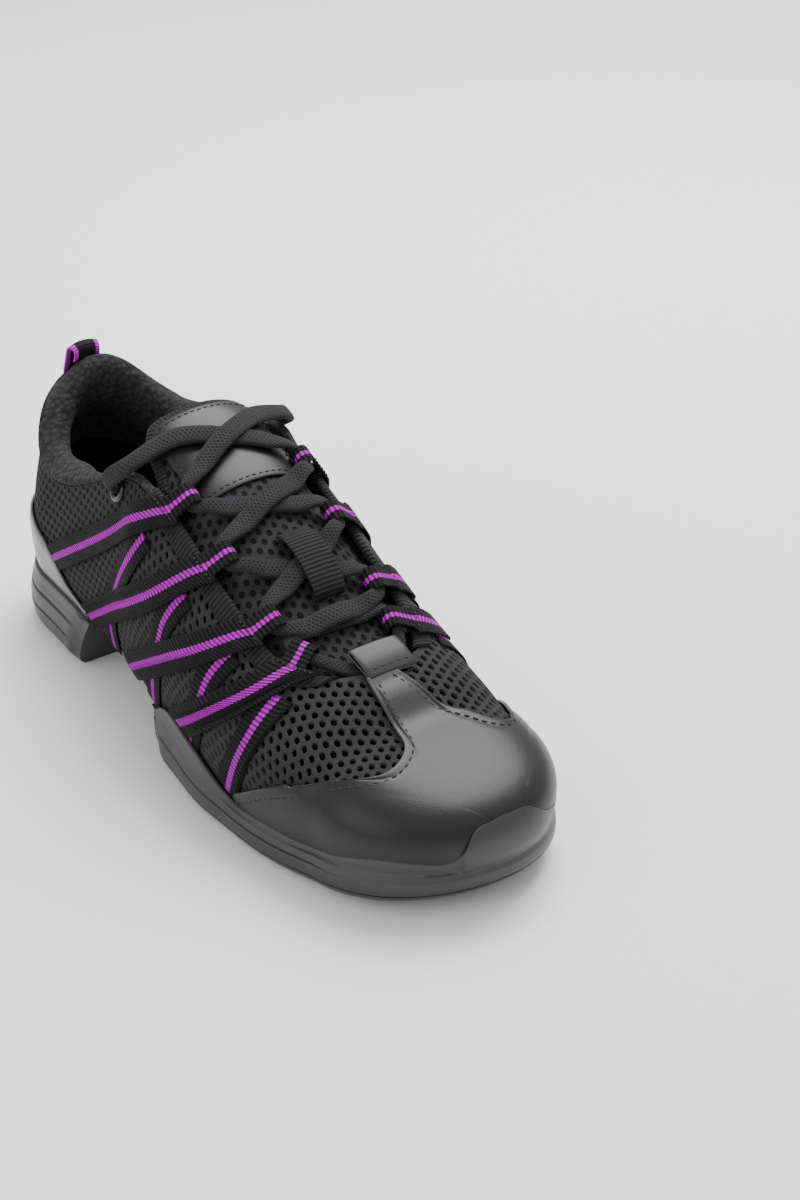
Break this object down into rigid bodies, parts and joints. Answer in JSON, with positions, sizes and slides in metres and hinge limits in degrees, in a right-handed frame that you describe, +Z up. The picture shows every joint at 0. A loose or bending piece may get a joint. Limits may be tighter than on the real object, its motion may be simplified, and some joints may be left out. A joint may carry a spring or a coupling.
{
  "type": "dance sneaker",
  "caption": "Low split-sole dance sneaker with an open mesh upper, webbing side straps that end in lace loops, a coated toe cap, padded collar and laced tongue",
  "frame": {"origin": "middle of the bounding box, on the ground under the sole", "axes": "+X points to the toe, +Y to the inner side of the foot, +Z up"},
  "size_m": [0.266, 0.094, 0.1074],
  "materials": {
    "mesh": "open spacer mesh, charcoal, matt",
    "sole_rubber": "moulded sole compound, dark grey, semi-matt",
    "board": "lasting board under woven cover",
    "insole_foam": "fabric-topped foam",
    "tongue_mesh": "padded mesh tongue, matt",
    "synthetic_leather": "smooth coated leather, dark grey, soft sheen",
    "heel_cup_film": "smooth moulded cup, mid grey, satin",
    "webbing": "ribbed black webbing with a purple centre stripe",
    "eyelet_metal": "black enamelled eyelet, glossy",
    "lace_cord": "flat-oval knitted lace, charcoal"
  },
  "bodies": {
    "root": {"upper": "mesh", "forepart_unit": "sole_rubber", "heel_unit": "sole_rubber", "lasting_board": "board", "insole": "insole_foam", "tongue": "tongue_mesh", "toe_cap": "synthetic_leather", "tongue_patch": "synthetic_leather", "heel_cup": "heel_cup_film", "strap_outer_1": "webbing", "strap_outer_2": "webbing", "strap_outer_3": "webbing", "strap_outer_4": "webbing", "strap_inner_1": "webbing", "strap_inner_2": "webbing", "strap_inner_3": "webbing", "strap_inner_4": "webbing", "ribbon_outer_1": "webbing", "ribbon_outer_2": "webbing", "ribbon_outer_3": "webbing", "ribbon_outer_4": "webbing", "ribbon_inner_1": "webbing", "ribbon_inner_2": "webbing", "ribbon_inner_3": "webbing", "ribbon_inner_4": "webbing", "lace_keeper": "webbing", "pull_loop": "webbing", "eyelet_outer": "eyelet_metal", "eyelet_inner": "eyelet_metal", "laces": "lace_cord"}
  },
  "joints": []
}
